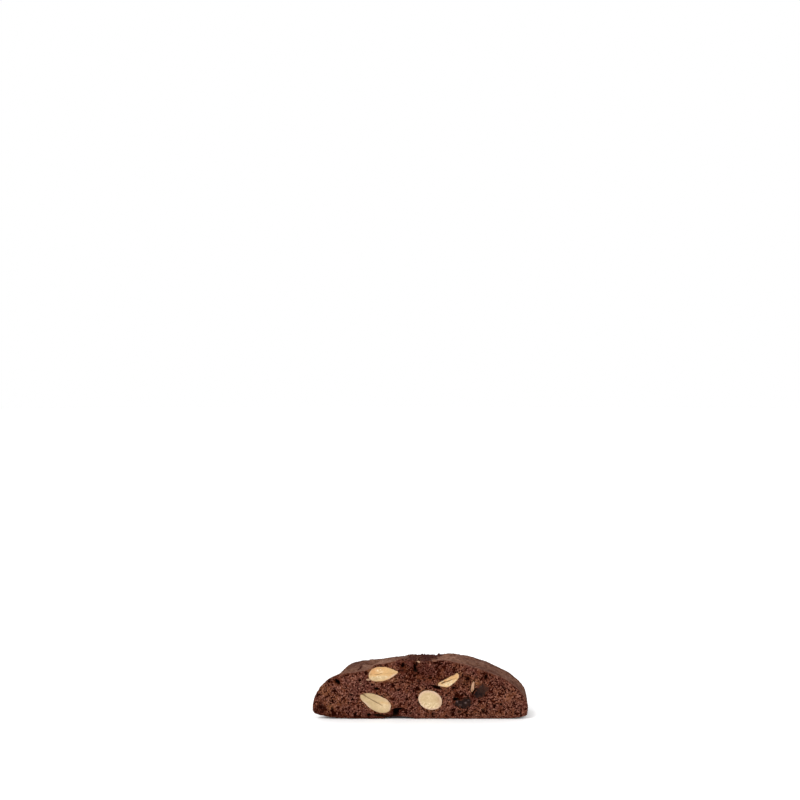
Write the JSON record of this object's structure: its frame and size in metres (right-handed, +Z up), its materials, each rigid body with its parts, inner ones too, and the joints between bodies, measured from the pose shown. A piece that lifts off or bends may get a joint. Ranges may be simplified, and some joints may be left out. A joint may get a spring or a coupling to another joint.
{
  "type": "chocolate and almond biscotto",
  "caption": "Slice of a twice-baked chocolate log biscuit, domed on top and flat below, with cut almonds and chocolate lumps showing in both cut faces.",
  "frame": {"origin": "middle of the slice's flat base", "axes": "+X along the slice's length, +Y from the shown cut face through the thickness to the other cut face, +Z up"},
  "size_m": [0.0752, 0.015, 0.0212],
  "materials": {
    "dough": "matt baked chocolate crumb, porous on the cut faces, smoother and milkier brown on the crust",
    "almond": "satin cut almond flesh, cream to toasted gold, with a thin browned rim",
    "chocolate": "dark, slightly waxy chocolate lumps"
  },
  "bodies": {
    "root": {"crumb": "dough", "almond_top_left": "almond", "almond_low_left": "almond", "almond_split": "almond", "almond_sliver": "almond", "almond_round": "almond", "almond_back_crown": "almond", "almond_back_left": "almond", "almond_back_right": "almond", "almond_back_top": "almond", "chocolate_upper": "chocolate", "chocolate_lower": "chocolate", "chocolate_back": "chocolate"}
  },
  "joints": []
}
